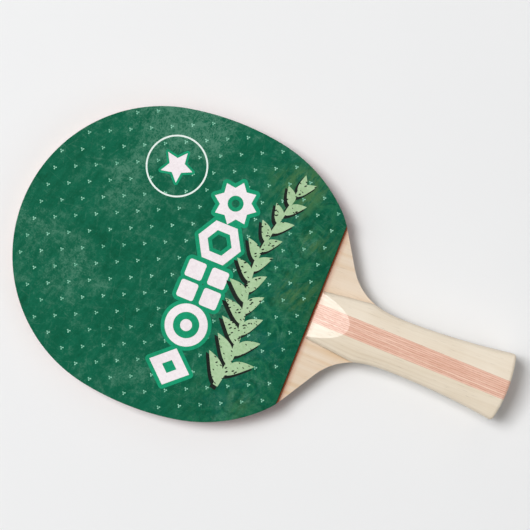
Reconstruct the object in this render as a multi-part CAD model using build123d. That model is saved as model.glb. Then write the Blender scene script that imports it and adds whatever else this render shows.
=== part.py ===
from build123d import *
import math
import os

# Table tennis paddle: a five-ply blade, a sponge and a top sheet on each side of the head,
# and a flared handle of two scales, each with a centre stripe of thin dyed veneers.
#
# Millimetres. +X runs along the handle from the head's tip to the butt, Y runs across, and +Z
# is the printed front. The origin is under the middle of the paddle's length and width, level
# with the underside of the handle. Everything is built about the blade's middle plane, and
# lifted by half the handle's thickness when it is written.

# ---- driving dimensions ----------------------------------------------------------------------
LENGTH = 260.0

# blade plies, from the middle outward
CORE_PLY = 2.6
CROSS_PLY = 1.1
FACE_PLY = 0.6
HALF_BLADE = CORE_PLY / 2 + CROSS_PLY + FACE_PLY

# blade outline, one half: arcs that run on from each other without a corner, from the tip,
# where the edge heads straight across, to the butt. Each is (radius, heading at its end).
TIP_ARC = (75.0, 10.5)
SIDE_ARC = (140.0, -10.0)
SHOULDER_ARC = (76.0, -44.5)
WING_ARC = (40.0, -58.5)
WING_STRAIGHT = 20.5
NECK_ARC = (30.0, -8.5)
WAIST_ARC = (80.0, 0.0)
FLARE_ARC = (382.0, 8.6)

# rubber sheets
SPONGE = 1.5
TOP_SHEET = 1.6
RUBBER_END_X = 26.7
RUBBER_CUT_SKEW = -0.7
RUBBER_CUT_SLOPE = 18.0

# handle scales
SCALE_HEIGHT = 8.5
SCALE_WALL = 3.3
SCALE_SHOULDER = 2.8
SCALE_FRONT_X = 27.3
SCALE_FRONT_HALF_WIDTH = 12.6
SCALE_FULL_X = 52.0
SCALE_FULL_HALF_WIDTH = 15.4
SCALE_BLEND = 0.3
SCALE_SECTIONS = 24
SCALE_LAST_SECTION_X = 125.0
RAMP_FRONT_HEIGHT = 5.6
RAMP_END_X = 45.5
BUTT_ROUNDING = 1.6

# centre stripe of each scale
STRIPE_WIDTH = 9.7
STRIPE_VENEERS = 10
STRIPE_SKEW = -1.1
STRIPE_PIVOT_X = 85.0

# the back of the part rests at height zero; cuts reach past the wood by CUT_ROOM, or by FAR
HALF_HANDLE = HALF_BLADE + SCALE_HEIGHT
CUT_ROOM = 4.0
FAR = 400.0


# ---- blade -----------------------------------------------------------------------------------
def half_outline():
    """The edges of the +Y half of the blade, from the tip to the butt corner."""
    edges = []
    point = Vector(-LENGTH / 2, 0)
    heading = 90.0
    for arc in (TIP_ARC, SIDE_ARC, SHOULDER_ARC, WING_ARC, None, NECK_ARC, WAIST_ARC, FLARE_ARC):
        direction = Vector(1, 0).rotate(Axis.Z, heading)
        if arc is None:
            edge = Line(point, point + direction * WING_STRAIGHT)
        else:
            radius, end_heading = arc
            edge = JernArc(point, direction, radius, end_heading - heading)
            heading = end_heading
        edges.append(edge)
        point = edge @ 1
    return edges


def blade_face():
    """The whole plan of the blade, with its slightly bowed butt and rounded butt corners."""
    half = half_outline()
    corner = half[-1] @ 1
    opposite_corner = Vector(corner.X, -corner.Y)
    butt = ThreePointArc(corner, (LENGTH / 2, 0), opposite_corner)
    other_half = [mirror(edge, about=Plane.XZ) for edge in half]
    plan = make_face(half + [butt] + other_half)
    butt_corners = plan.vertices().sort_by(Axis.X)[-2:]
    return fillet(butt_corners, BUTT_ROUNDING)


def slab(plan, low, high):
    """The plan made solid between two heights."""
    return extrude(Pos(0, 0, low) * plan, high - low)


def blade_plies(plan):
    """Five plies stacked face to face; the cross plies' grain runs across the blade."""
    core_top = CORE_PLY / 2
    cross_top = core_top + CROSS_PLY
    return {
        "core_ply": slab(plan, -core_top, core_top),
        "front_cross_ply": slab(plan, core_top, cross_top),
        "front_face_ply": slab(plan, cross_top, HALF_BLADE),
        "back_cross_ply": slab(plan, -cross_top, -core_top),
        "back_face_ply": slab(plan, -HALF_BLADE, -cross_top),
    }


# ---- rubber ----------------------------------------------------------------------------------
def rubber_keep_block():
    """The space in front of the sloped cut that ends the rubber beside the handle."""
    block = Pos(-FAR / 2, 0, 0) * Box(FAR, FAR, FAR)
    cut_foot = Pos(RUBBER_END_X, 0, HALF_BLADE) * Rot(0, 0, RUBBER_CUT_SKEW)
    return cut_foot * Rot(0, -RUBBER_CUT_SLOPE, 0) * block


def front_rubber(plan):
    """The sponge and the top sheet of the front, flush with the head's edge."""
    sponge_top = HALF_BLADE + SPONGE
    keep = rubber_keep_block()
    sponge = slab(plan, HALF_BLADE, sponge_top) & keep
    top_sheet = slab(plan, sponge_top, sponge_top + TOP_SHEET) & keep
    return sponge, top_sheet


# ---- handle ----------------------------------------------------------------------------------
def blade_half_width(plan, x):
    """Half the blade's width at one place along it."""
    return (Line((x, 0), (x, FAR)) & plan).length


def scale_section(half_width):
    """A scale's cross-section: flat base, upright walls, round shoulders and a crowned top."""
    spread = half_width - SCALE_SHOULDER
    rise = SCALE_HEIGHT - SCALE_WALL - SCALE_SHOULDER
    crown_angle = 2 * math.atan(rise / spread)
    crown_radius = SCALE_SHOULDER + spread / math.sin(crown_angle)
    shoulder_turn = 90 - math.degrees(crown_angle)
    right_wall = Line((half_width, 0), (half_width, SCALE_WALL))
    right = JernArc(right_wall @ 1, (0, 1), SCALE_SHOULDER, shoulder_turn)
    crown = JernArc(right @ 1, right % 1, crown_radius, 2 * math.degrees(crown_angle))
    left = JernArc(crown @ 1, crown % 1, SCALE_SHOULDER, shoulder_turn)
    left_wall = Line(left @ 1, (-half_width, 0))
    base = Line(left_wall @ 1, right_wall @ 0)
    return make_face([right_wall, right, crown, left, left_wall, base])


def scale_half_width(plan, x):
    """Half the scale's width: it widens from its front end, then follows the blade's edge."""
    slope = (SCALE_FULL_HALF_WIDTH - SCALE_FRONT_HALF_WIDTH) / (SCALE_FULL_X - SCALE_FRONT_X)
    widening = SCALE_FRONT_HALF_WIDTH + slope * (x - SCALE_FRONT_X)
    blade_edge = blade_half_width(plan, x)
    nearness = math.exp(-widening / SCALE_BLEND) + math.exp(-blade_edge / SCALE_BLEND)
    return -SCALE_BLEND * math.log(nearness)


def scale_stations(plan):
    """Evenly spaced places for the scale's sections, and the half width of each.

    The first stands a little in front of the scale, and the last beyond the butt, where the
    flare goes straight on, so that the cuts at both ends are clean.
    """
    first = SCALE_FRONT_X - CUT_ROOM
    last = SCALE_LAST_SECTION_X
    step = (last - first) / (SCALE_SECTIONS - 1)
    stations = []
    for index in range(SCALE_SECTIONS):
        x = first + index * step
        stations.append((x, scale_half_width(plan, x)))
    flare_slope = math.tan(math.radians(FLARE_ARC[1]))
    overrun = LENGTH / 2 + CUT_ROOM - last
    stations.append((last + overrun, stations[-1][1] + overrun * flare_slope))
    return stations


def whole_scale(plan):
    """The front scale in one piece, before the stripe divides it."""
    base = Plane((0, 0, HALF_BLADE), x_dir=(0, 1, 0), z_dir=(1, 0, 0))
    sections = []
    for x, half_width in scale_stations(plan):
        sections.append(base.offset(x) * scale_section(half_width))
    body = loft(sections)

    ramp_top = HALF_BLADE + SCALE_HEIGHT
    ramp_foot = HALF_BLADE + RAMP_FRONT_HEIGHT
    slope = (ramp_top - ramp_foot) / (RAMP_END_X - SCALE_FRONT_X)
    side_view = Polyline(
        (SCALE_FRONT_X, 0),
        (SCALE_FRONT_X, ramp_foot),
        (RAMP_END_X + CUT_ROOM, ramp_top + CUT_ROOM * slope),
        (FAR, FAR),
        (FAR, 0),
        close=True,
    )
    ramped = body & extrude(Plane.XZ * make_face(side_view), FAR, both=True)

    corner = half_outline()[-1] @ 1
    bow = LENGTH / 2 - corner.X
    butt_radius = (corner.Y**2 + bow**2) / (2 * bow)
    within_butt = Pos(LENGTH / 2 - butt_radius, 0, 0) * Cylinder(butt_radius, FAR)
    trimmed = ramped & within_butt
    butt_end = trimmed.faces().sort_by(Axis.X)[-1]
    rim = butt_end.edges().sort_by(Axis.Z)[1:]
    return fillet(rim, BUTT_ROUNDING)


def scale_pieces(scale):
    """The scale divided into two cheeks and the veneers of the stripe between them."""
    lane = Pos(STRIPE_PIVOT_X, 0, 0) * Rot(0, 0, STRIPE_SKEW)
    veneer = STRIPE_WIDTH / STRIPE_VENEERS
    cheek_centre = STRIPE_WIDTH / 2 + FAR / 2
    pieces = {
        "handle_cheek_left": scale & (lane * Pos(0, cheek_centre, 0) * Box(FAR, FAR, FAR)),
        "handle_cheek_right": scale & (lane * Pos(0, -cheek_centre, 0) * Box(FAR, FAR, FAR)),
    }
    for index in range(STRIPE_VENEERS):
        y = (index + 0.5) * veneer - STRIPE_WIDTH / 2
        name = f"stripe_veneer_{index + 1:02d}"
        pieces[name] = scale & (lane * Pos(0, y, 0) * Box(FAR, veneer, FAR))
    return pieces


# ---- assembly --------------------------------------------------------------------------------
def paddle():
    """Every piece by name, with the blade's middle plane at height zero."""
    plan = blade_face()
    pieces = blade_plies(plan)
    sponge, top_sheet = front_rubber(plan)
    front = {"sponge": sponge, "top_sheet": top_sheet}
    front.update(scale_pieces(whole_scale(plan)))
    for name, piece in front.items():
        pieces["front_" + name] = piece
        pieces["back_" + name] = mirror(piece, about=Plane.XY)
    return pieces


os.makedirs("parts", exist_ok=True)
for node, shape in paddle().items():
    export_step(Pos(0, 0, HALF_HANDLE) * shape, f"parts/{node}.step")
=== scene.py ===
import math
import random

import bmesh
import bpy
from mathutils import Matrix, Vector
from mathutils.geometry import tessellate_polygon


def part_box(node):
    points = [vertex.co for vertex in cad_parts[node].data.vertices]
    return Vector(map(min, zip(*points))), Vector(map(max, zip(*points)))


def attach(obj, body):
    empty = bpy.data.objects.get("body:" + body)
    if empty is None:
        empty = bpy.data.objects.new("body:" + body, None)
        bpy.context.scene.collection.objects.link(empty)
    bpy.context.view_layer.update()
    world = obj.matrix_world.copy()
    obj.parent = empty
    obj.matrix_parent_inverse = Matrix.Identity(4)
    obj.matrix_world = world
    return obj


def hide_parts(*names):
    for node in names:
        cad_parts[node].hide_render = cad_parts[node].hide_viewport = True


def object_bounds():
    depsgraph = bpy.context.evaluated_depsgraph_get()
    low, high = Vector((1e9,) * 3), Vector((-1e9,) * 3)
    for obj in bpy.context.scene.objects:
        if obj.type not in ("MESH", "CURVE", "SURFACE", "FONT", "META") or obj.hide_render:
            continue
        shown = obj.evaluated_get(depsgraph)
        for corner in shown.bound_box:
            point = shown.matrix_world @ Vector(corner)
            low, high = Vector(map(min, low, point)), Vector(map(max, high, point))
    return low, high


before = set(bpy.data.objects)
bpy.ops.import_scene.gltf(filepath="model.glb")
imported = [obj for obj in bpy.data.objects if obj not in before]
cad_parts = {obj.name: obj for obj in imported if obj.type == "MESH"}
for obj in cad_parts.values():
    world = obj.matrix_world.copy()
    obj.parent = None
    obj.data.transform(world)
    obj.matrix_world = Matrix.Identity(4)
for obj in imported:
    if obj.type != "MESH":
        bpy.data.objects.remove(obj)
CAD_LOW, CAD_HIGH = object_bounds()

# The looks of a table tennis paddle. Everything is in metres and in the frame of the CAD part:
# +X runs from the head's tip to the butt, and +Z is the printed front. Sizes that are handier
# in millimetres say so.
MM = 0.001
FRONT_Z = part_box("front_top_sheet")[1].z
BACK_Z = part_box("back_top_sheet")[0].z
SIDES = ("front", "back")

# ranges for fade
RISING = (0.0, 1.0)
FALLING = (1.0, 0.0)


# ---- shader helpers ---------------------------------------------------------------------------
def linear(red, green, blue):
    """A colour given as 0 to 255 screen values, made linear for the shader."""
    channels = []
    for value in (red, green, blue):
        c = value / 255
        channels.append(c / 12.92 if c <= 0.04045 else ((c + 0.055) / 1.055) ** 2.4)
    return (*channels, 1.0)


# A mix node has a socket of each name for every type of data. These are the colour ones.
MIX_FACTOR, MIX_A, MIX_B, MIX_RESULT = 0, 6, 7, 2


class Shader:
    """A material with a Principled shader, and short ways to add nodes to it."""

    def __init__(self, name):
        self.material = bpy.data.materials.new(name)
        self.material.use_nodes = True
        self.tree = self.material.node_tree
        self.surface = self.tree.nodes["Principled BSDF"]
        self.place = self.add("ShaderNodeTexCoord").outputs["Object"]

    def add(self, kind, **settings):
        node = self.tree.nodes.new(kind)
        for key, value in settings.items():
            setattr(node, key, value)
        return node

    def plug(self, value, socket):
        """Links a node's output to the socket, or sets the socket to a plain value."""
        if isinstance(value, bpy.types.NodeSocket):
            self.tree.links.new(value, socket)
        else:
            socket.default_value = value

    def set(self, **values):
        """Plain values or links for the Principled shader, with _ for a space in the name."""
        for key, value in values.items():
            self.plug(value, self.surface.inputs[key.replace("_", " ")])

    def bump(self, height, distance, strength):
        """Feeds the Normal input; distance is the height of the relief in metres."""
        node = self.add("ShaderNodeBump")
        self.plug(height, node.inputs["Height"])
        node.inputs["Distance"].default_value = distance
        node.inputs["Strength"].default_value = strength
        self.set(Normal=node.outputs[0])

    def stretch(self, scale, turn=0.0, shift=(0, 0, 0), vector=None):
        """Object coordinates, or another vector, turned about Z, shifted and then scaled."""
        turned = self.add("ShaderNodeMapping", vector_type="POINT")
        self.plug(vector or self.place, turned.inputs["Vector"])
        turned.inputs["Location"].default_value = shift
        turned.inputs["Rotation"].default_value = (0, 0, turn)
        scaled = self.add("ShaderNodeMapping", vector_type="POINT")
        self.plug(turned.outputs[0], scaled.inputs["Vector"])
        scaled.inputs["Scale"].default_value = scale
        return scaled.outputs[0]

    def noise_outputs(self, vector, scale, detail, roughness=0.5, distortion=0.0):
        """The outputs of a noise texture: its value and its colour."""
        node = self.add("ShaderNodeTexNoise")
        self.plug(vector, node.inputs["Vector"])
        node.inputs["Scale"].default_value = scale
        node.inputs["Detail"].default_value = detail
        node.inputs["Roughness"].default_value = roughness
        node.inputs["Distortion"].default_value = distortion
        return node.outputs[:]

    def noise(self, vector, scale, detail, roughness=0.5, distortion=0.0):
        return self.noise_outputs(vector, scale, detail, roughness, distortion)[0]

    def cells(self, vector, scale):
        """The outputs of a cell texture: Distance to a cell's point, and the cell's Color."""
        node = self.add("ShaderNodeTexVoronoi", feature="F1")
        self.plug(vector, node.inputs["Vector"])
        node.inputs["Scale"].default_value = scale
        return node.outputs

    def math(self, operation, a, b=0.0, c=0.0):
        node = self.add("ShaderNodeMath", operation=operation)
        for value, socket in zip((a, b, c), node.inputs):
            self.plug(value, socket)
        return node.outputs[0]

    def vector_math(self, operation, *vectors):
        """The outputs of a vector node: its Vector, and its Value for a length."""
        node = self.add("ShaderNodeVectorMath", operation=operation)
        for vector, socket in zip(vectors, node.inputs):
            self.plug(vector, socket)
        return node.outputs

    def separate(self, vector):
        """The three parts of a vector or a colour."""
        node = self.add("ShaderNodeSeparateXYZ")
        self.plug(vector, node.inputs[0])
        return node.outputs[:]

    def fade(self, value, span, levels=RISING):
        """The value eased from one range to another, and held at both ends."""
        node = self.add("ShaderNodeMapRange", interpolation_type="SMOOTHSTEP")
        self.plug(value, node.inputs["Value"])
        for socket, end in zip(("From Min", "From Max", "To Min", "To Max"), (*span, *levels)):
            node.inputs[socket].default_value = end
        return node.outputs[0]

    def from_half(self, value):
        """How far a value lies from a half."""
        return self.math("ABSOLUTE", self.math("SUBTRACT", value, 0.5))

    def add_up(self, total, *layers):
        """The total, with each layer's value added times its weight."""
        for value, weight in layers:
            total = self.math("MULTIPLY_ADD", value, weight, total)
        return total

    def mix(self, factor, a, b):
        node = self.add("ShaderNodeMix", data_type="RGBA")
        for value, number in ((factor, MIX_FACTOR), (a, MIX_A), (b, MIX_B)):
            self.plug(value, node.inputs[number])
        return node.outputs[MIX_RESULT]

    def paint(self, tone, *coats):
        """The tone with coats laid over it in turn. Each is its cover, 0 to 1, and a colour."""
        for cover, colour in coats:
            tone = self.mix(cover, tone, colour)
        return tone


# ---- wood -------------------------------------------------------------------------------------
# The stripe: the width of one veneer, the stripe's small turn, and where its middle line
# crosses the paddle's own.
STRIPE_VENEERS = 10
VENEER = 0.97 * MM
STRIPE_TURN = math.radians(1.1)
STRIPE_PIVOT = (85 * MM, 0, 0)

# A painted warm shadow darkens a narrow strip of the wood beside the rubber's cut, which runs
# a little askew across the blade. Distances are from the cut's furthest end, so the bare wood
# starts at about -0.5 mm. The painted shadow fades between the two distances below.
CUT_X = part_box("front_sponge")[1].x
CUT_SKEW = math.tan(math.radians(0.7))
CUT_SHADOW_FULL = -0.8 * MM
CUT_SHADOW_REACH = 2.6 * MM
CUT_SHADOW_STRENGTH = 0.5
CUT_SHADOW_TONE = linear(190, 112, 70)

# growth rings: how far they wander, in metres, how much they lean with height, and how narrow
# their dark part is
RING_WANDER = 0.012
RING_LEAN = 2.2
RING_SHARPNESS = 3.0

# the weight of each layer in the wood's shade
FIBRE_WEIGHT = 0.45
STREAK_WEIGHT = 0.5
BLOTCH_WEIGHT = 0.22

# pores: how much they show, and their tone and depth beside the deep tone and the fibres
PORE_COVER = 0.35
PORE_TONE = 0.62
PORE_DEPTH = 0.6

WOOD_ROUGHNESS = (0.29, 0.42)
WOOD_RELIEF = 0.05 * MM

# The veneers' tones: how much each varies from the next, by alternation and at random, as
# screen values, and how much of that the red takes. Each veneer's pattern is shifted too.
GLUE_TONE = linear(198, 132, 102)
VENEER_SEED = 7
VENEER_ALTERNATION = 5
VENEER_VARIATION = 7
RED_SHARE = 0.5
VENEER_SHIFT = (0.13, 0.07)


def glue_lines(s):
    """1 on the thin seams between the veneers of the stripe, and 0 inside each veneer."""
    from_pivot = s.vector_math("SUBTRACT", s.place, STRIPE_PIVOT)["Vector"]
    across = s.separate(s.stretch((1, 1, 1), STRIPE_TURN, vector=from_pivot))[1]
    within_veneer = s.math("FRACT", s.math("DIVIDE", across, VENEER))
    return s.fade(s.from_half(within_veneer), (0.3, 0.47))


def painted_cut_shadow(s):
    """Painted warm shadow: 1 on the wood beside the rubber's cut, and 0 near the handle and far
    under the rubber.
    """
    lengthwise, across, _ = s.separate(s.place)
    beyond = s.math("SUBTRACT", s.math("MULTIPLY_ADD", across, -CUT_SKEW, lengthwise), CUT_X)
    near_enough = s.math("GREATER_THAN", beyond, -CUT_SHADOW_REACH)
    return s.math("MULTIPLY", near_enough, s.fade(beyond, (CUT_SHADOW_FULL, CUT_SHADOW_REACH), FALLING))


def wood(name, pale, deep, ring_gap, ring_depth, shift=(0, 0, 0), turn=0.0, glue=None):
    """Fine-sanded wood, its grain along X, or turned about Z.

    ring_gap is the distance between growth rings in millimetres, ring_depth how much they
    show, and shift a move of the whole pattern. If a glue colour is given, the wood is one
    veneer of the stripe, darker at its two faces.
    """
    s = Shader(name)

    def drawn_out(along, across, detail, roughness=0.5):
        """Noise drawn out along the grain, with its scales along the grain and across it."""
        return s.noise(s.stretch((along, across, across), turn, shift), 1.0, detail, roughness)

    grain = s.stretch((1, 1, 1), turn, shift)
    wander = drawn_out(6, 45, detail=3.0)
    _, across, height = s.separate(grain)
    from_heart = s.add_up(across, (wander, RING_WANDER), (height, RING_LEAN))
    ring_angle = s.math("MULTIPLY", from_heart, 2 * math.pi / (ring_gap * MM))
    wave = s.math("MULTIPLY_ADD", s.math("SINE", ring_angle), 0.5, 0.5)
    late_wood = s.math("POWER", wave, RING_SHARPNESS)
    patchy = s.fade(drawn_out(9, 60, detail=2.0), (0.35, 0.7))
    rings = s.math("MULTIPLY", late_wood, s.math("MULTIPLY", patchy, ring_depth))
    fibre = drawn_out(35, 1400, detail=5.0, roughness=0.62)
    streak = drawn_out(12, 330, detail=3.0, roughness=0.55)
    pores = s.fade(drawn_out(150, 2300, detail=1.0), (0.66, 0.76))
    blotch = s.fade(s.noise(grain, scale=38.0, detail=3.0), (0.3, 0.75))

    layers = ((fibre, FIBRE_WEIGHT), (streak, STREAK_WEIGHT), (blotch, BLOTCH_WEIGHT))
    shade = s.add_up(rings, *layers)
    pore_tone = (*(PORE_TONE * c for c in deep[:3]), 1.0)
    tone = s.mix(s.fade(shade, (0.3, 1.15)), pale, deep)
    tone = s.mix(s.math("MULTIPLY", pores, PORE_COVER), tone, pore_tone)
    if glue:
        broken = drawn_out(240, 700, detail=3.0, roughness=0.6)
        threads = drawn_out(120, 3600, detail=2.0)
        tone = s.mix(s.fade(threads, (0.52, 0.66), (0.0, 0.3)), tone, glue)
        seams = s.math("MULTIPLY", glue_lines(s), s.fade(broken, (0.38, 0.58), (0.25, 1.0)))
        tone = s.mix(seams, tone, glue)
    # painted warm shadow beside the rubber's cut, laid over every wood
    tone = s.mix(s.math("MULTIPLY", painted_cut_shadow(s), CUT_SHADOW_STRENGTH), tone, CUT_SHADOW_TONE)
    s.set(Base_Color=tone, Roughness=s.fade(fibre, (0.2, 0.8), WOOD_ROUGHNESS))
    s.set(Specular_IOR_Level=0.5)
    relief = s.math("SUBTRACT", fibre, s.math("MULTIPLY", pores, PORE_DEPTH))
    s.bump(relief, WOOD_RELIEF, strength=0.5)
    return s.material


def dress(node, material):
    """Gives a CAD node its material."""
    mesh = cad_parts[node].data
    mesh.materials.clear()
    mesh.materials.append(material)


def dress_plies():
    """The blade's plies. The grain of the cross plies runs across the blade."""
    core = wood(
        "core_wood",
        pale=linear(232, 208, 176),
        deep=linear(206, 172, 134),
        ring_gap=3.0,
        ring_depth=0.4,
        shift=(0.2, 0.3, 0),
    )
    cross = wood(
        "cross_wood",
        pale=linear(206, 172, 132),
        deep=linear(168, 128, 90),
        ring_gap=2.0,
        ring_depth=0.5,
        turn=math.pi / 2,
    )
    face = wood(
        "face_wood",
        pale=linear(229, 212, 191),
        deep=linear(216, 187, 151),
        ring_gap=5.2,
        ring_depth=0.45,
        shift=(0, 0.02, 0),
    )
    dress("core_ply", core)
    for side in SIDES:
        dress(f"{side}_cross_ply", cross)
        dress(f"{side}_face_ply", face)


def dress_cheeks():
    """The pale side woods of the handle."""
    left = wood(
        "cheek_wood_left",
        pale=linear(242, 230, 211),
        deep=linear(223, 205, 178),
        ring_gap=2.6,
        ring_depth=0.25,
        shift=(0.1, 0.01, 0),
    )
    right = wood(
        "cheek_wood_right",
        pale=linear(242, 230, 210),
        deep=linear(223, 206, 180),
        ring_gap=3.4,
        ring_depth=0.25,
        shift=(0.5, 0.03, 0),
    )
    for side in SIDES:
        dress(f"{side}_handle_cheek_left", left)
        dress(f"{side}_handle_cheek_right", right)


def dress_stripe():
    """The dyed veneers, alternately lighter and darker, and each a little different."""
    tones = random.Random(VENEER_SEED)
    for index in range(1, STRIPE_VENEERS + 1):
        alternation = VENEER_ALTERNATION if index % 2 else -VENEER_ALTERNATION
        lift = tones.uniform(-VENEER_VARIATION, VENEER_VARIATION) + alternation
        red_lift = lift * RED_SHARE
        veneer = wood(
            f"veneer_wood_{index:02d}",
            pale=linear(246 + red_lift, 208 + lift, 187 + lift),
            deep=linear(219 + red_lift, 162 + lift, 137 + lift),
            ring_gap=1.3,
            ring_depth=0.3,
            shift=(VENEER_SHIFT[0] * index, VENEER_SHIFT[1] * index, 0),
            glue=GLUE_TONE,
        )
        for side in SIDES:
            dress(f"{side}_stripe_veneer_{index:02d}", veneer)


# ---- rubber and sponge ------------------------------------------------------------------------
# Worn patches of the printed face: x, y and radius in millimetres from the part's origin, and
# how strongly each is worn.
SCUFFS = (
    (-74, 62, 24, 0.8),
    (-52, 68, 15, 0.8),
    (-82, 27, 14, 0.5),
    (-124, -5, 14, 0.42),
    (-103, -23, 17, 0.36),
    (-87, -23, 12, 0.3),
    (-50, -55, 13, 0.35),
    (-14, -14, 8, 0.5),
)
SMUDGES = (
    (-1, 57, 13, 0.8),
    (18, 34, 9, 0.8),
    (17, 7, 12, 0.8),
    (-14, -60, 13, 0.1),
    (11, -55, 8, 0.35),
)

# The patches' outlines are pushed about by noise, and each fades between two shares of its
# radius.
WARP_SCALE = 45.0
WARP_REACH = 26 * MM
SPOT_CORE = 0.25
SPOT_EDGE = 1.45

# Scratches: the direction of each set in radians, and its scales across and along.
SCRATCHES = ((0.35, 420, 12), (1.35, 330, 9), (2.2, 520, 15), (2.9, 260, 8))
SCRATCH_WIDTH = 0.012

# where the tones near the handle and next to the cut set in, along X
NEAR_HANDLE = (-40 * MM, 10 * MM)
BY_THE_CUT = (4 * MM, 27 * MM)

# the print ends between these heights, and the rubber's own brown shows below
PRINT_FOOT = (FRONT_Z - 0.14 * MM, FRONT_Z - 0.1 * MM)

HEAD_GREEN = linear(6, 94, 67)
HANDLE_GREEN = linear(6, 93, 67)
BRUSHED_GREEN = linear(16, 106, 78)
DAB_GREEN = linear(42, 118, 82)
SHADOW_GREEN = linear(0, 76, 50)
WORN_GREEN = linear(77, 133, 109)
DEEP_GREEN = linear(0, 76, 49)
TEAL = linear(6, 92, 78)
OLIVE = linear(76, 118, 70)
CUT_GREEN = linear(2, 78, 52)
SCRATCH_GREEN = linear(120, 170, 148)
RUBBER_BROWN = linear(88, 44, 28)


def warped(s):
    """Object coordinates pushed about by noise, by up to half of WARP_REACH each way."""
    colour = s.noise_outputs(s.place, WARP_SCALE, detail=5.0, roughness=0.65)[1]
    reach = (WARP_REACH, WARP_REACH, 0)
    centring = (-WARP_REACH / 2, -WARP_REACH / 2, 0)
    push = s.vector_math("MULTIPLY_ADD", colour, reach, centring)["Vector"]
    return s.vector_math("ADD", s.place, push)["Vector"]


def wear_spots(s, spots, warp):
    """Soft irregular patches, 1 where a full-strength spot is worn most."""
    total = 0.0
    for x, y, radius, strength in spots:
        centre = (x * MM, y * MM, FRONT_Z)
        distance = s.vector_math("DISTANCE", warp, centre)["Value"]
        span = (SPOT_CORE * radius * MM, SPOT_EDGE * radius * MM)
        total = s.math("ADD", s.fade(distance, span, (strength, 0.0)), total)
    return s.math("MINIMUM", total, 1.0)


def thin_lines(s, field, width):
    """1 where a noise crosses its middle value, falling to 0 at width from it."""
    return s.fade(s.from_half(field), (0.0, width), FALLING)


def wisps(s, scale, width, shift):
    """Curling threads, where a twisted noise crosses its middle value."""
    place = s.stretch((1, 1, 1), shift=shift)
    field = s.noise(place, scale, detail=4.0, roughness=0.6, distortion=1.4)
    return thin_lines(s, field, width)


def scratches(s, mottle):
    """Long thin wandering scratches, broken up by the mottle."""
    lines = 0.0
    for turn, across, along in SCRATCHES:
        field = s.noise(s.stretch((along, across, along), turn), 1.0, detail=2.0, roughness=0.55)
        lines = s.math("MAXIMUM", thin_lines(s, field, SCRATCH_WIDTH), lines)
    return s.math("MULTIPLY", lines, s.fade(mottle, (0.42, 0.62)))


def printed_green():
    """The printed face: deep green, scuffed in wisps, with olive smudges near the handle.

    Below the print, the sheet's edge is brown rubber.
    """
    s = Shader("printed_green")
    warp = warped(s)
    scuffs = wear_spots(s, SCUFFS, warp)
    smudges = wear_spots(s, SMUDGES, warp)
    clouds = s.noise(s.place, scale=52.0, detail=5.0, roughness=0.62, distortion=0.3)
    mottle = s.noise(s.place, scale=230.0, detail=6.0, roughness=0.75)
    grain = s.noise(s.place, scale=1150.0, detail=4.0, roughness=0.8)
    coarse_wisps = wisps(s, scale=170.0, width=0.05, shift=(0, 0, 0))
    fine_wisps = wisps(s, scale=260.0, width=0.04, shift=(0.3, 0.1, 0))
    brushed = s.noise(s.stretch((90, 300, 90), 1.9), scale=1.0, detail=5.0, roughness=0.7)
    painted_place = s.stretch((1, 1, 1), 0.4, (0.7, 0.2, 0))
    painted = s.noise(painted_place, scale=125.0, detail=3.0, roughness=0.6, distortion=2.0)
    teal_place = s.stretch((1, 1, 1), 0.9, (0.4, 0.2, 0))
    teal_field = s.noise(teal_place, scale=85.0, detail=5.0, roughness=0.7)

    # how worn the print is: deep green below about 0.5, and rubbed pale by about 1.3
    worn = s.add_up(
        s.math("MULTIPLY", clouds, 0.8),
        (scuffs, 0.2),
        (mottle, 0.8),
        (s.math("SUBTRACT", brushed, 0.5), 0.35),
        (s.math("MAXIMUM", coarse_wisps, fine_wisps), s.add_up(0.05, (scuffs, 0.24))),
        (s.math("SUBTRACT", grain, 0.5), s.add_up(0.4, (scuffs, 0.45))),
    )

    lengthwise, _, height = s.separate(s.place)
    near_handle = s.fade(lengthwise, NEAR_HANDLE)
    by_the_cut = s.fade(lengthwise, BY_THE_CUT)
    dabs = s.math("MULTIPLY", near_handle, s.fade(painted, (0.48, 0.64), (0.0, 0.75)))
    shadows = s.math("MULTIPLY", near_handle, s.fade(painted, (0.36, 0.46), (0.7, 0.0)))
    teal = s.math("MULTIPLY", s.fade(teal_field, (0.5, 0.66)), near_handle)
    smudged = s.math("MULTIPLY", smudges, s.fade(brushed, (0.38, 0.6)))
    tone = s.paint(
        s.mix(near_handle, HEAD_GREEN, HANDLE_GREEN),
        (s.fade(brushed, (0.42, 0.6), (0.0, 0.5)), BRUSHED_GREEN),
        (dabs, DAB_GREEN),
        (shadows, SHADOW_GREEN),
        (s.fade(worn, (0.8, 1.3)), WORN_GREEN),
        (s.fade(worn, (0.48, 0.82), (0.7, 0.0)), DEEP_GREEN),
        (s.math("MULTIPLY", teal, 0.6), TEAL),
        (smudged, OLIVE),
        (s.math("MULTIPLY", by_the_cut, 0.45), CUT_GREEN),
        (s.math("MULTIPLY", scratches(s, mottle), 0.16), SCRATCH_GREEN),
    )

    edge = s.mix(s.fade(mottle, (0.35, 0.65)), RUBBER_BROWN, linear(58, 30, 21))
    below = s.fade(height, PRINT_FOOT, FALLING)
    s.set(Base_Color=s.mix(below, tone, edge), Roughness=s.fade(mottle, (0.3, 0.7), (0.5, 0.62)))
    s.set(Specular_IOR_Level=0.04)
    s.bump(grain, 0.02 * MM, strength=0.3)
    return s.material


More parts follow.
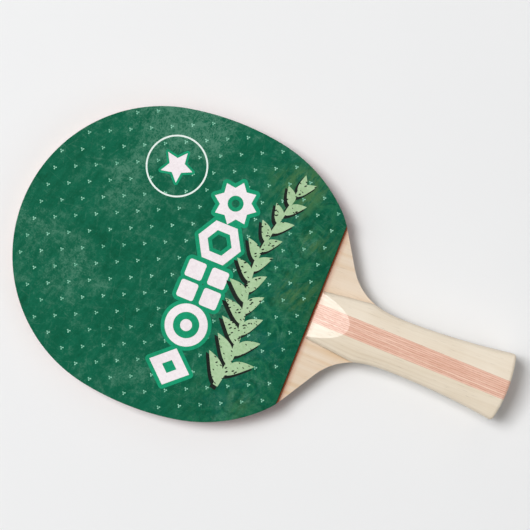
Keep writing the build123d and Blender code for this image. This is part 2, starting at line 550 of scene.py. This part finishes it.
def moulded_rubber(name, tone, worn_tone):
    """Plain moulded rubber with faint dust and rub marks."""
    s = Shader(name)
    cloud = s.noise(s.place, scale=30.0, detail=5.0, roughness=0.6)
    grain = s.noise(s.place, scale=1500.0, detail=4.0, roughness=0.7)
    rub = s.noise(s.stretch((60, 500, 60), 0.5), scale=1.0, detail=4.0, roughness=0.6)
    dusty = s.add_up(s.math("MULTIPLY", cloud, 0.6), (rub, 0.5))
    s.set(Base_Color=s.mix(s.fade(dusty, (0.45, 0.8), (0.0, 0.4)), tone, worn_tone))
    s.set(Roughness=s.fade(dusty, (0.4, 0.8), (0.42, 0.58)), Specular_IOR_Level=0.3)
    s.bump(grain, 0.015 * MM, strength=0.4)
    return s.material


def sponge_foam(name, tone, pore_tone):
    """Fine open-celled sponge, seen on its cut edge."""
    s = Shader(name)
    pit = s.fade(s.cells(s.place, scale=3200.0)["Distance"], (0.1, 0.55), FALLING)
    cloud = s.noise(s.place, scale=160.0, detail=4.0)
    dark = s.add_up(s.math("MULTIPLY", cloud, 0.25), (pit, 0.55))
    s.set(Base_Color=s.mix(dark, tone, pore_tone), Roughness=0.9, Specular_IOR_Level=0.15)
    s.bump(pit, -0.12 * MM, strength=0.8)
    return s.material


# ---- inks -------------------------------------------------------------------------------------
# Flecks: the cells' scale on the stretched grid, and how far from a cell's point a fleck ends.
FLECK_CELLS = 0.28
FLECK_EDGE = (0.3, 0.35)
FLECK_WOBBLE = 0.22


def flecks(s, size, turn, share):
    """Short dark flecks, about size across, in a share of the cells of a loose grid."""
    wobble = s.noise(s.place, scale=900.0, detail=2.0)
    cells = s.cells(s.stretch((1 / size, 0.5 / size, 1 / size), turn), FLECK_CELLS)
    chosen = s.math("LESS_THAN", s.separate(cells["Color"])[0], share)
    reach = s.add_up(cells["Distance"], (wobble, FLECK_WOBBLE))
    return s.math("MULTIPLY", chosen, s.fade(reach, FLECK_EDGE, FALLING))


def ink(name, tone, mottled_tone, fleck=None):
    """A flat print colour with a faint mottle, and with dark flecks if a colour is given."""
    s = Shader(name)
    mottle = s.noise(s.place, scale=700.0, detail=5.0, roughness=0.7)
    wide = s.noise(s.place, scale=70.0, detail=4.0, roughness=0.6)
    uneven = s.add_up(s.math("MULTIPLY", wide, 0.4), (mottle, 0.6))
    colour = s.mix(s.fade(uneven, (0.4, 0.62)), tone, mottled_tone)
    if fleck:
        large = flecks(s, size=0.5 * MM, turn=0.9, share=0.8)
        small = flecks(s, size=0.36 * MM, turn=2.0, share=0.6)
        colour = s.mix(s.math("MAXIMUM", large, small), colour, fleck)
    s.set(Base_Color=colour, Roughness=s.fade(mottle, (0.3, 0.7), (0.5, 0.6)))
    s.set(Specular_IOR_Level=0.1)
    s.bump(mottle, 0.01 * MM, strength=0.3)
    return s.material


# ---- loops ------------------------------------------------------------------------------------
# A loop is a list of points, each a pair of numbers. The next point after the last is the first.
FULL_TURN = 2 * math.pi
CIRCLE_STEPS = 72
CORNER_STEPS = 6

# widening: the least bend that is rounded, and what a sharp inward corner's reach is held to
NO_BEND = 1e-6
LEAST_MITRE = 0.2

# the four ways out from a centre, anticlockwise
QUADRANTS = ((1, 1), (-1, 1), (-1, -1), (1, -1))


def around(loop):
    """Each item with the one after it, and the last with the first."""
    return zip(loop, loop[1:] + loop[:1])


def area(loop):
    """The loop's area, below zero if it runs clockwise."""
    total = 0.0
    for (p1, q1), (p2, q2) in around(loop):
        total += (p1 * q2 - p2 * q1) / 2
    return total


def anticlockwise(loop):
    return loop if area(loop) > 0 else loop[::-1]


def polygon(centre, radius, corners):
    """A regular polygon, anticlockwise, with its first corner straight along the first axis."""
    p, q = centre
    points = []
    for i in range(corners):
        angle = FULL_TURN * i / corners
        points.append((p + radius * math.cos(angle), q + radius * math.sin(angle)))
    return points


def circle(centre, radius, steps=CIRCLE_STEPS):
    return polygon(centre, radius, steps)


def burst(centre, outer, inner, points):
    """A star, anticlockwise, with its first point straight along the first axis."""
    p, q = centre
    loop = []
    for i in range(2 * points):
        angle = math.pi * i / points
        radius = outer if i % 2 == 0 else inner
        loop.append((p + radius * math.cos(angle), q + radius * math.sin(angle)))
    return loop


def diamond(centre, half_p, half_q):
    p, q = centre
    return [(p + half_p, q), (p, q + half_q), (p - half_p, q), (p, q - half_q)]


def rounded_tile(centre, half, corner):
    """A square with round corners."""
    p, q = centre
    points = []
    for turn, (sp, sq) in enumerate(QUADRANTS):
        for k in range(CORNER_STEPS + 1):
            angle = math.pi / 2 * (turn + k / CORNER_STEPS)
            points.append((
                p + sp * (half - corner) + corner * math.cos(angle),
                q + sq * (half - corner) + corner * math.sin(angle),
            ))
    return points


def widened(loop, distance, steps=CORNER_STEPS):
    """The loop moved outward by a distance, with its outward corners rounded."""
    points = []
    count = len(loop)
    for i in range(count):
        before, here, after = (Vector(loop[(i + k) % count]) for k in (-1, 0, 1))
        into = (here - before).normalized()
        out = (after - here).normalized()
        normal_in = Vector((into.y, -into.x))
        normal_out = Vector((out.y, -out.x))
        bend = into.x * out.y - into.y * out.x
        if bend * distance > NO_BEND:
            start = math.atan2(normal_in.y, normal_in.x)
            sweep = math.asin(max(-1.0, min(1.0, bend)))
            if into.dot(out) < 0:
                sweep = math.copysign(math.pi, bend) - sweep
            for k in range(steps + 1):
                angle = start + sweep * k / steps
                points.append(here + Vector((math.cos(angle), math.sin(angle))) * distance)
        else:
            middle = (normal_in + normal_out).normalized()
            mitre = max(LEAST_MITRE, middle.dot(normal_in))
            points.append(here + middle * (distance / mitre))
    return [tuple(point) for point in points]


# ---- pieces -----------------------------------------------------------------------------------
def new_object(name, data):
    """A new object in the scene, at the origin."""
    thing = bpy.data.objects.new(name, data)
    bpy.context.scene.collection.objects.link(thing)
    return thing


def new_piece(name, mesh, material):
    """A piece of the paddle that rides on its one body."""
    mesh.validate()
    mesh.materials.append(material)
    piece = new_object(name, mesh)
    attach(piece, "root")
    return piece


def walls(first, size, rise, outward=True):
    """The upright faces around a prism's loop.

    The loop's lower corners are numbered from first, and its upper ones are rise later.
    """
    faces = []
    for i in range(size):
        j = (i + 1) % size
        k, m = (i, j) if outward else (j, i)
        faces.append((first + k, first + m, first + rise + m, first + rise + k))
    return faces


# ---- films of ink -----------------------------------------------------------------------------
# The print has its own axes, in millimetres from the middle of the top sheet: p runs towards
# the handle and q across it, turned a little from the paddle's own axes. All the printed
# shapes below have their sizes in millimetres too.
SHEET_LOW, SHEET_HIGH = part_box("front_top_sheet")
PRINT_ORIGIN = (SHEET_LOW + SHEET_HIGH) / 2
PRINT_TURN = Matrix.Rotation(math.radians(-1.16), 3, "Z")

# heights of the foot and the tops of the ink layers above the sheet, in millimetres
INK_FOOT = -0.02
MARK_TOP = 0.01
HALO_TOP = 0.02
WHITE_TOP = 0.045
SHADE_TOP = 0.05
LEAF_TOP = 0.066
LAYER_STEP = 0.003


def print_to_frame(p, q, height):
    point = PRINT_TURN @ Vector((p * MM, q * MM, 0))
    return Vector((PRINT_ORIGIN.x + point.x, PRINT_ORIGIN.y + point.y, FRONT_Z + height * MM))


def film(name, shapes, top, material):
    """Thin closed prisms. Each shape is a layer number and its loops: an outline, then holes.

    Shapes that overlap have different layer numbers, so that no two tops share one plane.
    """
    verts, faces = [], []
    for layer, loops in shapes:
        outlines = [[Vector((p, q, 0)) for p, q in loop] for loop in loops]
        flat = [corner for outline in outlines for corner in outline]
        first = len(verts)
        count = len(flat)
        for height in (INK_FOOT, top + layer * LAYER_STEP):
            verts += [print_to_frame(v.x, v.y, height) for v in flat]
        for a, b, c in tessellate_polygon(outlines):
            facing_up = (flat[b] - flat[a]).cross(flat[c] - flat[a]).z > 0
            a, b, c = (a, b, c) if facing_up else (a, c, b)
            faces.append((first + count + a, first + count + b, first + count + c))
            faces.append((first + c, first + b, first + a))
        for number, loop in enumerate(loops):
            outward = (area(loop) > 0) == (number == 0)
            faces += walls(first, len(loop), count, outward)
            first += len(loop)
    mesh = bpy.data.meshes.new(name)
    mesh.from_pydata(verts, [], faces)
    new_piece(name, mesh, material)


# ---- the five bold signs ----------------------------------------------------------------------
# A sign is a list of shapes, of which it has up to MOST_SHAPES. A halo keeps a hole only if its
# area is above LEAST_HOLE.
SIGN_P = 21.3
SIGN_CENTRES = (-50.0, -27.6, -5.6, 16.8, 38.0)
SIGN_HALO = 2.0
LEAST_HOLE = 4.0
MOST_SHAPES = 4

SIGN_TALL = 21.6
SIGN_WIDE = 19.6
DIAMOND_HOLE = 0.36
TARGET_RING = 4.2
TARGET_DOT = 3.0
DOT_STEPS = 36
TILE_HALF = 4.55
TILE_CORNER = 1.3
TILE_GAP = 1.55
TILE_SQUEEZE = 0.6
HEXAGON_RADIUS = 11.4
HEXAGON_BAR = 4.9
BURST_OUTER = 11.2
BURST_INNER = 7.9
BURST_POINTS = 8
BURST_HOLE = 4.0
HOLE_STEPS = 40


def sign_diamond(centre):
    tall, wide = SIGN_TALL / 2, SIGN_WIDE / 2
    hole = diamond(centre, DIAMOND_HOLE * SIGN_TALL / 2, DIAMOND_HOLE * SIGN_WIDE / 2)
    return [[diamond(centre, tall, wide), hole]]


def sign_target(centre):
    ring = [circle(centre, SIGN_TALL / 2), circle(centre, SIGN_TALL / 2 - TARGET_RING)]
    return [ring, [circle(centre, TARGET_DOT, DOT_STEPS)]]


def sign_tiles(centre):
    p, q = centre
    off_p = TILE_HALF + TILE_GAP
    off_q = TILE_HALF + TILE_GAP - TILE_SQUEEZE
    tiles = []
    for sp, sq in QUADRANTS:
        tiles.append([rounded_tile((p + sp * off_p, q + sq * off_q), TILE_HALF, TILE_CORNER)])
    return tiles


def sign_hexagon(centre):
    outline = polygon(centre, HEXAGON_RADIUS, 6)
    return [[outline, polygon(centre, HEXAGON_RADIUS - HEXAGON_BAR, 6)]]


def sign_burst(centre):
    outline = burst(centre, BURST_OUTER, BURST_INNER, BURST_POINTS)
    return [[outline, circle(centre, BURST_HOLE, HOLE_STEPS)]]


def halo_of(shape, width):
    """The shape grown by a width all round, its holes made smaller or filled."""
    grown = [widened(shape[0], width)]
    for hole in shape[1:]:
        smaller = widened(hole[::-1], width)[::-1]
        if area(smaller) > LEAST_HOLE:
            grown.append(smaller)
    return grown


def add_signs(white, mint):
    """The row of signs, each with a halo. Neighbours' halos overlap, so their layers differ."""
    makers = (sign_diamond, sign_target, sign_tiles, sign_hexagon, sign_burst)
    shapes, halos = [], []
    for number, (maker, q) in enumerate(zip(makers, SIGN_CENTRES)):
        for part, shape in enumerate(maker((SIGN_P, q))):
            shapes.append((0, shape))
            halos.append((part + MOST_SHAPES * (number % 2), halo_of(shape, SIGN_HALO)))
    film("front_print_sign_halos", halos, HALO_TOP, mint)
    film("front_print_signs", shapes, WHITE_TOP, white)


# ---- the ring with a star in it ---------------------------------------------------------------
RING_CENTRE = (-13.1, 44.4)
RING_RADIUS = 15.7
RING_LINE = 0.85
RING_STEPS = 120
STAR_OUTER = 8.4
STAR_INNER = 4.0
STAR_POINTS = 5
STAR_HALO = 1.2


def add_ring_badge(white, mint, ring_ink):
    inner_radius = RING_RADIUS - RING_LINE
    ring = [circle(RING_CENTRE, radius, RING_STEPS) for radius in (RING_RADIUS, inner_radius)]
    film("front_print_ring", [(0, ring)], WHITE_TOP, ring_ink)
    star = burst(RING_CENTRE, STAR_OUTER, STAR_INNER, STAR_POINTS)
    film("front_print_star_halo", [(0, [widened(star, STAR_HALO)])], HALO_TOP, mint)
    film("front_print_star", [(0, [star])], WHITE_TOP, white)


# ---- the small marks --------------------------------------------------------------------------
MARK_START = (-32.26, 11.48)
MARK_ROW_GAP = 9.37
MARK_GAP = 9.16
MARK_ROWS = range(-6, 13)
MARK_COLUMNS = range(-9, 10)
MARK_INSET = 1.3
PETALS = 3

# one petal's outline: how far out from the mark's centre, and how far to the side
PETAL = ((0.05, 0.0), (0.4, -0.32), (0.8, -0.32), (1.05, 0.0), (0.8, 0.32), (0.4, 0.32))

# The sheet's outline may have very short sides, which are left out of the tests against it.
SAME_LEVEL = 0.01 * MM
SHORT_TO_MEASURE = 0.1 * MM
SHORT_TO_CLIP = 0.05 * MM


def sheet_outline():
    """The corners of the top sheet's printed face, anticlockwise as seen from above."""
    rim = set()
    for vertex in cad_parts["front_top_sheet"].data.vertices:
        if abs(vertex.co.z - FRONT_Z) < SAME_LEVEL:
            rim.add((round(vertex.co.x, 7), round(vertex.co.y, 7)))
    x, y = PRINT_ORIGIN.xy
    return sorted(rim, key=lambda corner: math.atan2(corner[1] - y, corner[0] - x))


def left_of(side, x, y):
    """Twice the area of the triangle from a side to a point, above zero if it lies left."""
    (x1, y1), (x2, y2) = side
    return (x2 - x1) * (y - y1) - (y2 - y1) * (x - x1)


def side_length(side):
    (x1, y1), (x2, y2) = side
    return math.hypot(x2 - x1, y2 - y1)


def inside_by(outline, x, y):
    """How far a point lies inside a convex outline, below zero if it is outside."""
    nearest = math.inf
    for side in around(outline):
        length = side_length(side)
        if length > SHORT_TO_MEASURE:
            nearest = min(nearest, left_of(side, x, y) / length)
    return nearest


def petal(centre, angle):
    """One drop-shaped petal of a mark, pointing out from its centre."""
    p, q = centre
    cos, sin = math.cos(angle), math.sin(angle)
    return [(p + a * cos - b * sin, q + a * sin + b * cos) for a, b in PETAL]


def add_marks(mint):
    """Three-petalled marks on staggered rows, all over the sheet."""
    outline = sheet_outline()
    petals = []
    for row in MARK_ROWS:
        for column in MARK_COLUMNS:
            p = MARK_START[0] + MARK_ROW_GAP * row
            q = MARK_START[1] + MARK_GAP * (column + (row % 2) / 2)
            place = print_to_frame(p, q, 0)
            if inside_by(outline, place.x, place.y) > MARK_INSET * MM:
                for k in range(PETALS):
                    angle = -math.pi / 2 + FULL_TURN * k / PETALS
                    petals.append((k, [petal((p, q), angle)]))
    film("front_print_marks", petals, MARK_TOP, mint)


# ---- the leafy branch -------------------------------------------------------------------------
# The stem runs along q and sways to either side of BRANCH_P.
BRANCH_START, BRANCH_END = -50.0, 57.0
BRANCH_P = 45.0
SWAY = 3.4
SWAYS = 1.15
SWAY_START = 0.05
STEM_HALF_WIDTH = 1.35
STEM_TAPER = 0.95
STEM_STEPS = 60

# A belly below 1 puts a leaf's widest place nearer its root, and a fullness below 1 makes its
# sides rounder.
LEAF_STEPS = 12
LEAF_BELLY = 0.8
LEAF_FULLNESS = 0.9

# The leaves stand in staggered pairs. Their angle from the stem in degrees, length and width
# each drop by a given amount along the stem, and their length varies in a wave as well.
LEAF_PAIRS = 10
LEAF_START = 0.35
LEAF_STAGGER = 0.25
LEAF_ANGLE, ANGLE_DROP = 46, 10
LEAF_LENGTH, LENGTH_DROP = 16.5, 6.0
LEAF_WIDTH, WIDTH_DROP = 6.0, 1.6
LENGTH_WAVE, WAVE_RATE = 1.2, 5
LEAF_BEND = 0.1

# the last leaf, at the stem's end: how far back it starts, its length, width and bend
END_LEAF_BACK = 2
END_LEAF = (9.5, 3.6, 0.06)

# the dark shade: its shift from the branch, and how much wider it is
SHADE_SHIFT = (-0.8, -1.75)
SHADE_GROWTH = 0.25
SHADE_CORNER_STEPS = 2


def branch_point(t):
    """The middle of the stem at t from 0, its thick end, to 1, and its direction there."""
    length = BRANCH_END - BRANCH_START
    angle = FULL_TURN * (SWAYS * t + SWAY_START)
    lean = SWAY * FULL_TURN * SWAYS * math.cos(angle) / length
    middle = Vector((BRANCH_P + SWAY * math.sin(angle), BRANCH_START + length * t))
    return middle, Vector((lean, 1)).normalized()


def stem_outline():
    right, left = [], []
    for i in range(STEM_STEPS + 1):
        t = i / STEM_STEPS
        centre, along = branch_point(t)
        half = STEM_HALF_WIDTH - STEM_TAPER * t
        side = Vector((along.y, -along.x)) * half
        right.append(tuple(centre + side))
        left.append(tuple(centre - side))
    return right + left[::-1]


def leaf_outline(root, direction, length, width, bend):
    """A pointed leaf from its root, bowed to one side."""
    across = Vector((direction.y, -direction.x))
    right, left = [], []
    for i in range(1, LEAF_STEPS):
        t = i / LEAF_STEPS
        bow = across * (bend * length * math.sin(math.pi * t))
        centre = root + direction * (length * t) + bow
        half = width / 2 * math.sin(math.pi * t ** LEAF_BELLY) ** LEAF_FULLNESS
        right.append(tuple(centre + across * half))
        left.append(tuple(centre - across * half))
    tip = root + direction * length
    return [tuple(root)] + right + [tuple(tip)] + left[::-1]


def branch_shapes():
    """The stem and its leaves, each with a layer number."""
    shapes = [(0, stem_outline())]
    for i in range(LEAF_PAIRS):
        for side in (-1, 1):
            t = (i + LEAF_START + LEAF_STAGGER * side) / LEAF_PAIRS
            root, along = branch_point(t)
            angle = -side * math.radians(LEAF_ANGLE - ANGLE_DROP * t)
            direction = Matrix.Rotation(angle, 2) @ along
            wave = LENGTH_WAVE * math.cos(WAVE_RATE * t + side)
            length = LEAF_LENGTH - LENGTH_DROP * t + wave
            width = LEAF_WIDTH - WIDTH_DROP * t
            layer = 1 + (side > 0) + 2 * (i % 2)
            shapes.append((layer, leaf_outline(root, direction, length, width, -LEAF_BEND * side)))
    end, along = branch_point(1.0)
    shapes.append((1, leaf_outline(end - along * END_LEAF_BACK, along, *END_LEAF)))
    return shapes


def add_branch(pale, black):
    leaves, shade = [], []
    for layer, loop in branch_shapes():
        moved = [(p + SHADE_SHIFT[0], q + SHADE_SHIFT[1]) for p, q in loop]
        grown = widened(anticlockwise(moved), SHADE_GROWTH, SHADE_CORNER_STEPS)
        shade.append((layer, [grown]))
        leaves.append((layer, [anticlockwise(loop)]))
    film("front_print_branch_shade", shade, SHADE_TOP, black)
    film("front_print_branch", leaves, LEAF_TOP, pale)


def add_print():
    """All the films of ink on the front."""
    white = ink("white_ink", linear(248, 240, 243), linear(238, 228, 232))
    ring = ink("ring_ink", linear(238, 248, 242), linear(226, 240, 233))
    mint = ink("mint_ink", linear(8, 156, 112), linear(6, 142, 100))
    pale_mint = ink("pale_mint_ink", linear(156, 216, 190), linear(116, 188, 158))
    leaf = ink("leaf_ink", linear(178, 208, 166), linear(160, 194, 148), linear(14, 26, 18))
    black = ink("shade_ink", linear(14, 20, 16), linear(24, 36, 30))
    add_marks(pale_mint)
    add_ring_badge(white, mint, ring)
    add_signs(white, mint)
    add_branch(leaf, black)


# ---- the skins and pips that replace the two top sheets ---------------------------------------
# Faces that bend less than NEARLY_FLAT are merged, and edges that bend more than SHARP_EDGE, in
# radians, are rounded.
SKIN = 0.9 * MM
SKIN_ROUNDING = 0.12 * MM
SAME_CORNER = 0.001 * MM
NEARLY_FLAT = math.radians(0.3)
SHARP_EDGE = 0.5

# Pips are made in a band along the sheet's edge, and reach a little into the skin. Slivers cut
# off by the edge are left out.
PIP_GAP = 2.1 * MM
PIP_ROW_GAP = PIP_GAP * math.sqrt(3) / 2
PIP_RADIUS = 0.75 * MM
PIP_SIDES = 12
PIP_BAND = 5.0 * MM
PIP_OVERLAP = 0.03 * MM
PIP_LEAST_AREA = 0.15 * MM * MM


def sheet_levels(side, facing):
    """The heights of a top sheet's outer and inner faces; facing is 1 upward, -1 downward."""
    low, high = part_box(f"{side}_top_sheet")
    return (high.z, low.z) if facing > 0 else (low.z, high.z)


def add_skin(side, facing, material):
    """The smooth outer layer of a top sheet: its CAD solid cut thinner, with a softened rim.

    Its faces are sorted, because triangulating leaves them in an order that varies by run.
    """
    outer, _ = sheet_levels(side, facing)
    shell = bmesh.new()
    shell.from_mesh(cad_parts[f"{side}_top_sheet"].data)
    bmesh.ops.remove_doubles(shell, verts=shell.verts, dist=SAME_CORNER)
    bmesh.ops.dissolve_limit(
        shell, angle_limit=NEARLY_FLAT, verts=shell.verts, edges=shell.edges
    )
    cut = bmesh.ops.bisect_plane(
        shell,
        geom=shell.verts[:] + shell.edges[:] + shell.faces[:],
        plane_co=(0, 0, outer - facing * SKIN),
        plane_no=(0, 0, facing),
        clear_inner=True,
    )
    cut_edges = [item for item in cut["geom_cut"] if isinstance(item, bmesh.types.BMEdge)]
    bmesh.ops.contextual_create(shell, geom=cut_edges)
    rim = []
    for edge in shell.edges:
        on_outer_face = all(abs(vertex.co.z - outer) < SAME_LEVEL for vertex in edge.verts)
        if on_outer_face and edge.calc_face_angle(0) > SHARP_EDGE:
            rim.append(edge)
    bmesh.ops.bevel(
        shell, geom=rim, offset=SKIN_ROUNDING, segments=2, profile=0.5, affect="EDGES"
    )
    bmesh.ops.triangulate(shell, faces=shell.faces)
    bmesh.ops.recalc_face_normals(shell, faces=shell.faces)
    shell.verts.index_update()
    in_order = sorted(shell.faces, key=lambda face: sorted(v.index for v in face.verts))
    rank = {face: number for number, face in enumerate(in_order)}
    shell.faces.sort(key=rank.get)
    mesh = bpy.data.meshes.new(f"{side}_sheet_skin")
    shell.to_mesh(mesh)
    shell.free()
    skin = new_piece(mesh.name, mesh, material)
    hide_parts(f"{side}_top_sheet")


def clipped(loop, outline):
    """The part of a small loop that lies inside a convex outline. Both run anticlockwise."""
    for side in around(outline):
        if side_length(side) < SHORT_TO_CLIP:
            continue
        depths = [left_of(side, x, y) for x, y in loop]
        if min(depths) >= 0:
            continue
        kept = []
        for (here, after), (depth, next_depth) in zip(around(loop), around(depths)):
            if depth >= 0:
                kept.append(here)
            if (depth >= 0) != (next_depth >= 0):
                t = depth / (depth - next_depth)
                kept.append(tuple(a + t * (b - a) for a, b in zip(here, after)))
        loop = kept
        if len(loop) < 3:
            return []
    return loop


def add_pips(side, facing, material):
    """The moulded pips between the skin and the sponge, where the rim shows them."""
    outline = sheet_outline()
    outer, inner = sheet_levels(side, facing)
    bottom, top = sorted((inner, outer - facing * (SKIN - PIP_OVERLAP)))
    low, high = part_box(f"{side}_top_sheet")
    rows = int((high.y - low.y) / PIP_ROW_GAP) + 2
    columns = int((high.x - low.x) / PIP_GAP) + 2
    verts, faces = [], []
    for row in range(rows):
        for column in range(columns):
            x = low.x + (column + (row % 2) / 2) * PIP_GAP
            y = low.y + row * PIP_ROW_GAP
            if not -PIP_RADIUS < inside_by(outline, x, y) < PIP_BAND:
                continue
            loop = clipped(polygon((x, y), PIP_RADIUS, PIP_SIDES), outline)
            if not loop or area(loop) < PIP_LEAST_AREA:
                continue
            first, count = len(verts), len(loop)
            verts += [(a, b, z) for z in (bottom, top) for a, b in loop]
            faces.append([first + k for k in range(count)][::-1])
            faces.append([first + count + k for k in range(count)])
            faces += walls(first, count, count)
    mesh = bpy.data.meshes.new(f"{side}_sheet_pips")
    mesh.from_pydata(verts, [], faces)
    pips = new_piece(mesh.name, mesh, material)
    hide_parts(f"{side}_top_sheet")


def dress_rubber():
    """Green skin over brown pips on the front, plain red on the back, and the sponges."""
    red = moulded_rubber("red_rubber", linear(172, 26, 28), linear(188, 60, 56))
    brown = moulded_rubber("brown_rubber", RUBBER_BROWN, linear(68, 34, 24))
    add_skin("front", 1, printed_green())
    add_skin("back", -1, red)
    add_pips("front", 1, brown)
    add_pips("back", -1, red)
    foam = sponge_foam("sponge_foam", linear(198, 116, 76), linear(142, 72, 46))
    for side in SIDES:
        dress(f"{side}_sponge", foam)


# ---- studio -----------------------------------------------------------------------------------
# The paddle lies on its head's tip and the front end of the handle's underside, so the floor
# leans a little in the paddle's own frame, and the camera looks straight down at the floor.
REST_X = 45.5 * MM
TIP_X = CAD_LOW.x
FLOOR_SLOPE = BACK_Z / (REST_X - TIP_X)
FLOOR_UP = Vector((FLOOR_SLOPE, 0, 1)).normalized()
FLOOR_GAP = 0.02 * MM
FLOOR_REACH = 3.0

# the middle of the picture, its turn from the paddle's axes, the camera's height above the
# printed face, and the width that it sees there
AIM = Vector((-4.8 * MM, 14.2 * MM, FRONT_Z))
PHOTO_TURN = math.radians(21.04)
CAMERA_HEIGHT = 0.9
VIEW_WIDTH = 0.26504

# The lights: the name, the bearing in degrees, clockwise from the picture's left, the elevation
# above the floor, the power in watts, the size in metres, and the colour.
WHITE_LIGHT = (1, 1, 1)
WARM_LIGHT = (1.0, 0.94, 0.88)
LIGHT_DISTANCE = 4.0
SOFTBOXES = (
    ("key_softbox", 30, 65, 105, 1.4, WHITE_LIGHT),
    ("overhead_softbox", 60, 84, 15, 2.6, WHITE_LIGHT),
    ("top_fill", 100, 45, 11, 2.5, WHITE_LIGHT),
    ("left_fill", 8, 48, 24, 2.5, WHITE_LIGHT),
    ("right_fill", 215, 40, 22, 2.5, WARM_LIGHT),
)

# the surround's strength as a light, and as the camera sees it past the floor's edge
SURROUND_LIGHT = 0.09
SURROUND_SEEN = 0.86


def photo_axes():
    """The picture's right and up directions, lying in the floor."""
    right = Vector((math.cos(PHOTO_TURN), math.sin(PHOTO_TURN), 0))
    right = (right - right.dot(FLOOR_UP) * FLOOR_UP).normalized()
    return right, FLOOR_UP.cross(right)


def add_floor():
    """A plain pale floor, square to the picture."""
    s = Shader("studio_floor")
    faint = s.noise(s.place, scale=12.0, detail=3.0)
    s.set(Base_Color=s.mix(faint, linear(240, 241, 242), linear(242, 243, 244)))
    s.set(Roughness=0.85, Specular_IOR_Level=0.1)
    right, up = photo_axes()
    foot = Vector((REST_X, 0, -FLOOR_GAP))
    corners = []
    for a, b in ((-1, -1), (1, -1), (1, 1), (-1, 1)):
        corners.append(foot + right * FLOOR_REACH * a + up * FLOOR_REACH * b)
    mesh = bpy.data.meshes.new("studio_floor")
    mesh.from_pydata(corners, [], [(0, 1, 2, 3)])
    mesh.materials.append(s.material)
    new_object("studio_floor", mesh)


def add_softbox(name, bearing, elevation, power, size, colour):
    """One square light, aimed at the paddle from LIGHT_DISTANCE away."""
    right, up = photo_axes()
    a, e = math.radians(bearing), math.radians(elevation)
    level = -right * math.cos(a) + up * math.sin(a)
    direction = level * math.cos(e) + FLOOR_UP * math.sin(e)
    data = bpy.data.lights.new(name, "AREA")
    data.shape = "SQUARE"
    data.size = size
    data.energy = power
    data.color = colour
    lamp = new_object(name, data)
    lamp.location = AIM + direction * LIGHT_DISTANCE
    lamp.rotation_mode = "QUATERNION"
    lamp.rotation_quaternion = direction.to_track_quat("Z", "Y")


def add_world():
    """A dim even surround that still looks pale where the camera sees it."""
    world = bpy.data.worlds.new("studio")
    world.use_nodes = True
    tree = world.node_tree
    background = tree.nodes["Background"]
    background.inputs["Color"].default_value = (1, 1, 1, 1)
    ray = tree.nodes.new("ShaderNodeLightPath")
    level = tree.nodes.new("ShaderNodeMapRange")
    level.inputs["To Min"].default_value = SURROUND_LIGHT
    level.inputs["To Max"].default_value = SURROUND_SEEN
    tree.links.new(ray.outputs["Is Camera Ray"], level.inputs["Value"])
    tree.links.new(level.outputs[0], background.inputs["Strength"])
    bpy.context.scene.world = world


def add_camera():
    """The camera looks straight down at the floor, with the picture's turn."""
    right, up = photo_axes()
    data = bpy.data.cameras.new("camera")
    data.lens = data.sensor_width * CAMERA_HEIGHT / VIEW_WIDTH
    camera = new_object("camera", data)
    turn = Matrix((right, up, FLOOR_UP)).transposed()
    camera.matrix_world = Matrix.Translation(AIM + FLOOR_UP * CAMERA_HEIGHT) @ turn.to_4x4()
    bpy.context.scene.camera = camera


# ---- assemble ---------------------------------------------------------------------------------
dress_plies()
dress_cheeks()
dress_stripe()
dress_rubber()
add_print()
add_floor()
for softbox in SOFTBOXES:
    add_softbox(*softbox)
add_world()
add_camera()
bpy.context.scene.view_settings.view_transform = "Standard"
